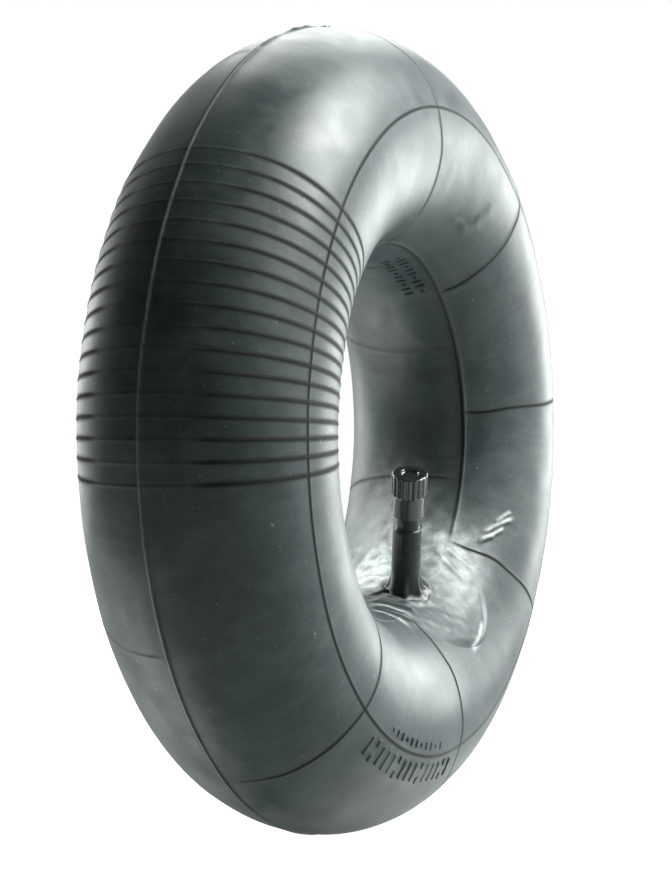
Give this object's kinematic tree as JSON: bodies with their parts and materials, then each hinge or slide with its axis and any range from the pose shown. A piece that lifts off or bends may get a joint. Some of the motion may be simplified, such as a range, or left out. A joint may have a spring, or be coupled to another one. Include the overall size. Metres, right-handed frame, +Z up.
{
  "type": "inner tube",
  "caption": "Inflated rubber ring for a small pneumatic wheel, with a bonded rubber-covered screw valve, its spring core and a fluted cap.",
  "frame": {"origin": "centre of the ring, on the wheel's turning axis and in the ring's middle plane", "axes": "+Y along the wheel's turning axis, away from the side that the valve leans to; +Z up, with the valve at the lower right of the ring; the valve's stem points inwards, leaning towards -Y"},
  "size_m": [0.3305, 0.0954, 0.33],
  "materials": {
    "butyl_rubber": "satin, moulded, with a pale bloom",
    "pad_rubber": "satin, wrinkled",
    "stem_rubber": "satin",
    "stem_brass": "machined",
    "core_brass": "machined",
    "pin_steel": "drawn",
    "spring_steel": "drawn wire",
    "seal_ring": "smooth",
    "seal_rubber": "matt",
    "cap_plastic": "glossy, moulded"
  },
  "bodies": {
    "tube": {"tube_body": "butyl_rubber", "valve_pad": "pad_rubber", "stem_cover": "stem_rubber", "stem_insert": "stem_brass"},
    "cap_seal": {"cap_gasket": "seal_rubber"},
    "cap": {"valve_cap": "cap_plastic"},
    "core_barrel": {"core_barrel": "core_brass", "barrel_gasket": "seal_ring", "core_spring": "spring_steel"},
    "core_plug": {"core_plug": "core_brass"},
    "core_pin": {"core_pin": "pin_steel", "core_cup": "core_brass", "cup_gasket": "seal_rubber"}
  },
  "joints": [
    {"name": "cap_lift", "type": "slide", "parent": "tube", "child": "cap_seal", "axis": [-0.3877, -0.1977, 0.9003], "range_m": [0, 0.00635]},
    {"name": "cap_turn", "type": "hinge", "parent": "cap_seal", "child": "cap", "pos_m": [0.01085, -0.02352, -0.0252], "axis": [-0.3877, -0.1977, 0.9003], "range_deg": [0, 2880.5]},
    {"name": "core_lift", "type": "slide", "parent": "tube", "child": "core_barrel", "axis": [-0.3877, -0.1977, 0.9003], "range_m": [0, 0.003]},
    {"name": "core_turn", "type": "hinge", "parent": "core_barrel", "child": "core_plug", "pos_m": [0.0124, -0.02273, -0.02881], "axis": [-0.3877, -0.1977, 0.9003], "range_deg": [0, 1530.5]},
    {"name": "core_pin_press", "type": "slide", "parent": "core_barrel", "child": "core_pin", "axis": [0.3877, 0.1977, -0.9003], "range_m": [0, 0.0012], "stiffness_N_per_m": 1500, "deforming": ["core_spring"]}
  ],
  "couplings": [
    {"joint": "cap_turn", "follows": "cap_lift", "rad_per_m": 7915.8},
    {"joint": "core_turn", "follows": "core_lift", "rad_per_m": 8905.3}
  ]
}
